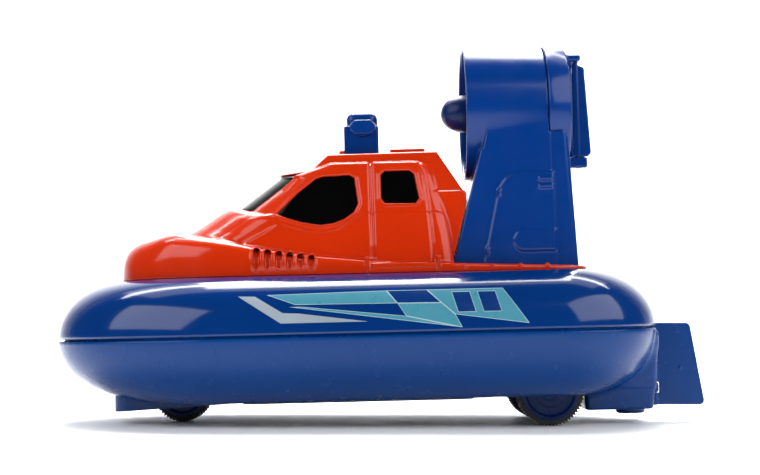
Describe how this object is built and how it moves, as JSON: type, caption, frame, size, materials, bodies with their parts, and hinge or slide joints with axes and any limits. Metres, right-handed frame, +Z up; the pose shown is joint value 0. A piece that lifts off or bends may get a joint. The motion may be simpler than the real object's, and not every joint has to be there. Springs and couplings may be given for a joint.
{
  "type": "toy hovercraft",
  "caption": "Toy radio-controlled hovercraft boat with a two-shell hull, cabin, ducted fan tower, flat rudder and small drive wheels.",
  "frame": {"origin": "on the floor under the middle of the overall box", "axes": "+X aft, -X bow, -Y port, +Z up; the hull itself is pitched about 1.4 degrees bow down"},
  "size_m": [0.275, 0.122, 0.1608],
  "materials": {
    "hull_blue": "gloss injection-moulded blue plastic",
    "lower_blue": "satin blue plastic",
    "cabin_orange": "gloss orange-red plastic",
    "glazing_black": "gloss black plastic",
    "fan_navy": "satin navy plastic",
    "tyre_black": "matte black rubber",
    "cover_black": "fine-textured dark plastic",
    "shaft_steel": "drawn steel",
    "motor_steel": "pressed steel can",
    "gear_nylon": "natural nylon",
    "bush_brass": "turned brass",
    "contact_nickel": "nickel-plated strip",
    "cell_jacket": "plain shrink-wrap jacket",
    "board_green": "solder-masked laminate",
    "chip_black": "moulded epoxy",
    "lens_clear": "clear polished",
    "lamp_white": "clear-white lamp"
  },
  "bodies": {
    "hull": {"axle_bushes": "bush_brass", "battery_box": "cover_black", "battery_cells": "cell_jacket", "battery_contacts": "contact_nickel", "battery_door": "cover_black", "circuit_board": "board_green", "circuit_chips": "chip_black", "door_window_port": "glazing_black", "door_window_starboard": "glazing_black", "drive_motor": "motor_steel", "duct_ring": "hull_blue", "fan_motor": "motor_steel", "front_wheel_housing": "lower_blue", "gearbox_tray": "cover_black", "hull_screws": "shaft_steel", "lower_hull": "lower_blue", "motor_clamp": "shaft_steel", "quarter_window_port": "glazing_black", "quarter_window_starboard": "glazing_black", "rudder_pin": "shaft_steel", "steering_bracket": "cover_black", "steering_motor": "motor_steel", "stern_glide": "lower_blue", "superstructure": "cabin_orange", "switch_body": "cover_black", "tower_half_port": "hull_blue", "tower_half_starboard": "hull_blue", "tower_screws": "shaft_steel", "upper_hull": "hull_blue", "windscreen": "glazing_black"},
    "fan_rotor": {"fan": "fan_navy", "spinner": "fan_navy", "fan_shaft": "shaft_steel"},
    "rear_axle_set": {"rear_axle": "shaft_steel", "axle_gear": "gear_nylon", "rear_hub_port": "fan_navy", "rear_hub_starboard": "fan_navy", "rear_tyre_port": "tyre_black", "rear_tyre_starboard": "tyre_black"},
    "drive_pinion_set": {"drive_pinion": "gear_nylon", "drive_shaft": "shaft_steel"},
    "steering_unit": {"steering_fork": "cover_black", "front_axle": "shaft_steel", "steering_gear": "gear_nylon"},
    "front_wheel": {"front_hub": "fan_navy", "front_tyre": "tyre_black"},
    "steering_pinion_set": {"steering_pinion": "gear_nylon", "steering_shaft": "shaft_steel"},
    "stern_rudder": {"water_rudder": "lower_blue"},
    "air_rudder_left": {"air_rudder_port": "hull_blue"},
    "air_rudder_right": {"air_rudder_starboard": "hull_blue"},
    "searchlight_mount": {"searchlight_post": "hull_blue"},
    "searchlight_lamp_head": {"searchlight_head": "hull_blue", "searchlight_boss_port": "hull_blue", "searchlight_boss_starboard": "hull_blue", "searchlight_lens": "lens_clear", "searchlight_lamp": "lamp_white"},
    "power_switch": {"switch_knob": "cover_black"}
  },
  "joints": [
    {"name": "fan_spin", "type": "hinge", "parent": "hull", "child": "fan_rotor", "pos_m": [0.05762, 0, 0.13237], "axis": [0.9997, 0, 0.0241], "continuous": true},
    {"name": "rear_axle_spin", "type": "hinge", "parent": "hull", "child": "rear_axle_set", "pos_m": [0.06848, 0, 0.0139], "axis": [0, 1, 0], "continuous": true},
    {"name": "drive_pinion_spin", "type": "hinge", "parent": "hull", "child": "drive_pinion_set", "pos_m": [0.06484, 0, 0.02321], "axis": [0, 1, 0], "continuous": true},
    {"name": "steering_turn", "type": "hinge", "parent": "hull", "child": "steering_unit", "pos_m": [-0.08504, 0, 0.0255], "axis": [-0.0241, 0, 0.9997], "range_deg": [-25, 25]},
    {"name": "front_wheel_spin", "type": "hinge", "parent": "steering_unit", "child": "front_wheel", "pos_m": [-0.08473, 0, 0.0126], "axis": [0, 1, 0], "continuous": true},
    {"name": "steering_pinion_turn", "type": "hinge", "parent": "hull", "child": "steering_pinion_set", "pos_m": [-0.07429, 0, 0.03576], "axis": [-0.0241, 0, 0.9997], "range_deg": [-70, 70]},
    {"name": "water_rudder_turn", "type": "hinge", "parent": "hull", "child": "stern_rudder", "pos_m": [0.11604, 0, 0.02435], "axis": [-0.0241, 0, 0.9997], "range_deg": [-30, 30]},
    {"name": "air_rudder_port_turn", "type": "hinge", "parent": "hull", "child": "air_rudder_left", "pos_m": [0.08261, -0.01, 0.13298], "axis": [-0.0241, 0, 0.9997], "range_deg": [-25, 25]},
    {"name": "air_rudder_starboard_turn", "type": "hinge", "parent": "hull", "child": "air_rudder_right", "pos_m": [0.08261, 0.01, 0.13298], "axis": [-0.0241, 0, 0.9997], "range_deg": [-25, 25]},
    {"name": "searchlight_swivel", "type": "hinge", "parent": "hull", "child": "searchlight_mount", "pos_m": [-0.00854, 0, 0.11737], "axis": [-0.0241, 0, 0.9997], "range_deg": [-90, 90]},
    {"name": "searchlight_tilt", "type": "hinge", "parent": "searchlight_mount", "child": "searchlight_lamp_head", "pos_m": [-0.00867, 0, 0.12277], "axis": [0, 1, 0], "range_deg": [-15, 15]},
    {"name": "power_switch_slide", "type": "slide", "parent": "hull", "child": "power_switch", "axis": [0.9997, 0, 0.0241], "range_m": [0, 0.0028]}
  ],
  "couplings": [
    {"joint": "drive_pinion_spin", "follows": "rear_axle_spin", "ratio": -2.3333},
    {"joint": "steering_pinion_turn", "follows": "steering_turn", "ratio": -2.6667}
  ]
}
